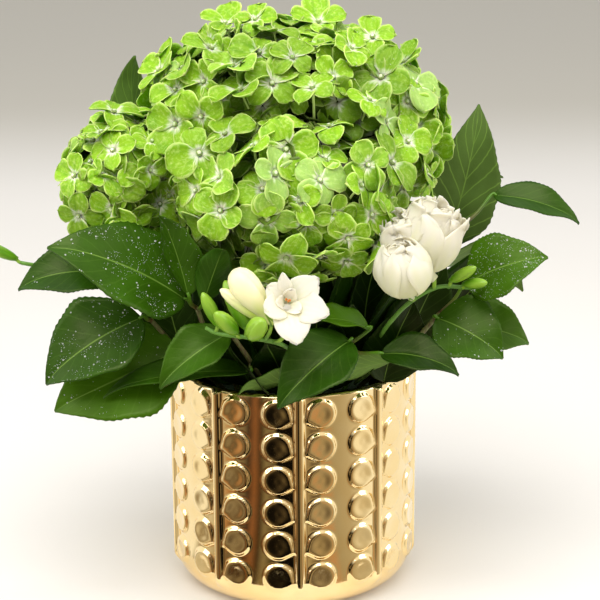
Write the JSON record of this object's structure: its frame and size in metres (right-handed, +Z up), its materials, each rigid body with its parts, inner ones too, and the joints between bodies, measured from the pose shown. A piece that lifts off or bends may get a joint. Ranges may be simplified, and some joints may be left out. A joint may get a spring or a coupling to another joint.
{
  "type": "floral table centerpiece",
  "caption": "Table centerpiece of green hydrangeas, white freesias and lemon-leaf foliage in a round embossed gold-glazed vase.",
  "frame": {"origin": "centre of the vase's foot, on the table", "axes": "+Z up along the vase's axis; -Y is the front of the arrangement, where the freesias are"},
  "size_m": [0.2953, 0.2284, 0.284],
  "materials": {
    "gold_glaze": "polished",
    "floral_foam": "matte",
    "hydrangea_sepal": "satin",
    "green_stem": "satin",
    "brown_twig": "matte",
    "glossy_leaf": "gloss",
    "white_petal": "satin",
    "green_bud": "satin",
    "water": "gloss"
  },
  "bodies": {
    "root": {"vase": "gold_glaze", "floral_foam": "floral_foam", "hydrangea_stem_top": "green_stem", "hydrangea_stem_front": "green_stem", "hydrangea_stem_left": "green_stem", "hydrangea_stem_back": "green_stem", "freesia_stem_front": "green_stem", "freesia_stem_right": "green_stem", "freesia_stem_left": "green_stem", "hydrangea_head_front": "hydrangea_sepal", "hydrangea_head_top": "hydrangea_sepal", "hydrangea_head_left": "hydrangea_sepal", "hydrangea_head_back": "hydrangea_sepal", "lemon_leaf_twig_left_upper": "brown_twig", "lemon_leaf_twig_left_lower": "brown_twig", "lemon_leaf_twig_left_back": "brown_twig", "lemon_leaf_twig_front": "brown_twig", "lemon_leaf_twig_front_left": "brown_twig", "lemon_leaf_twig_right_lower": "brown_twig", "lemon_leaf_twig_right_upper": "brown_twig", "lemon_leaf_twig_back": "brown_twig", "lemon_leaf_left_1": "glossy_leaf", "lemon_leaf_left_2": "glossy_leaf", "lemon_leaf_left_3": "glossy_leaf", "lemon_leaf_left_4": "glossy_leaf", "lemon_leaf_left_5": "glossy_leaf", "lemon_leaf_left_6": "glossy_leaf", "lemon_leaf_left_7": "glossy_leaf", "lemon_leaf_front_1": "glossy_leaf", "lemon_leaf_front_2": "glossy_leaf", "lemon_leaf_front_3": "glossy_leaf", "lemon_leaf_front_4": "glossy_leaf", "lemon_leaf_front_5": "glossy_leaf", "lemon_leaf_front_6": "glossy_leaf", "lemon_leaf_front_7": "glossy_leaf", "lemon_leaf_right_1": "glossy_leaf", "lemon_leaf_right_2": "glossy_leaf", "lemon_leaf_right_3": "glossy_leaf", "lemon_leaf_right_4": "glossy_leaf", "lemon_leaf_right_5": "glossy_leaf", "lemon_leaf_back_1": "glossy_leaf", "lemon_leaf_back_2": "glossy_leaf", "lemon_leaf_back_3": "glossy_leaf", "lemon_leaf_back_4": "glossy_leaf", "lemon_leaf_back_5": "glossy_leaf", "lemon_leaf_back_6": "glossy_leaf", "lemon_leaf_back_7": "glossy_leaf", "lemon_leaf_back_8": "glossy_leaf", "freesia_flower_front": "white_petal", "freesia_flower_right_1": "white_petal", "freesia_flower_right_2": "white_petal", "freesia_bud_front_opening": "white_petal", "freesia_bud_front_1": "green_bud", "freesia_bud_front_2": "green_bud", "freesia_bud_front_3": "green_bud", "freesia_bud_front_4": "green_bud", "freesia_bud_right_1": "green_bud", "freesia_bud_right_2": "green_bud", "freesia_bud_left_1": "green_bud"}
  },
  "joints": []
}
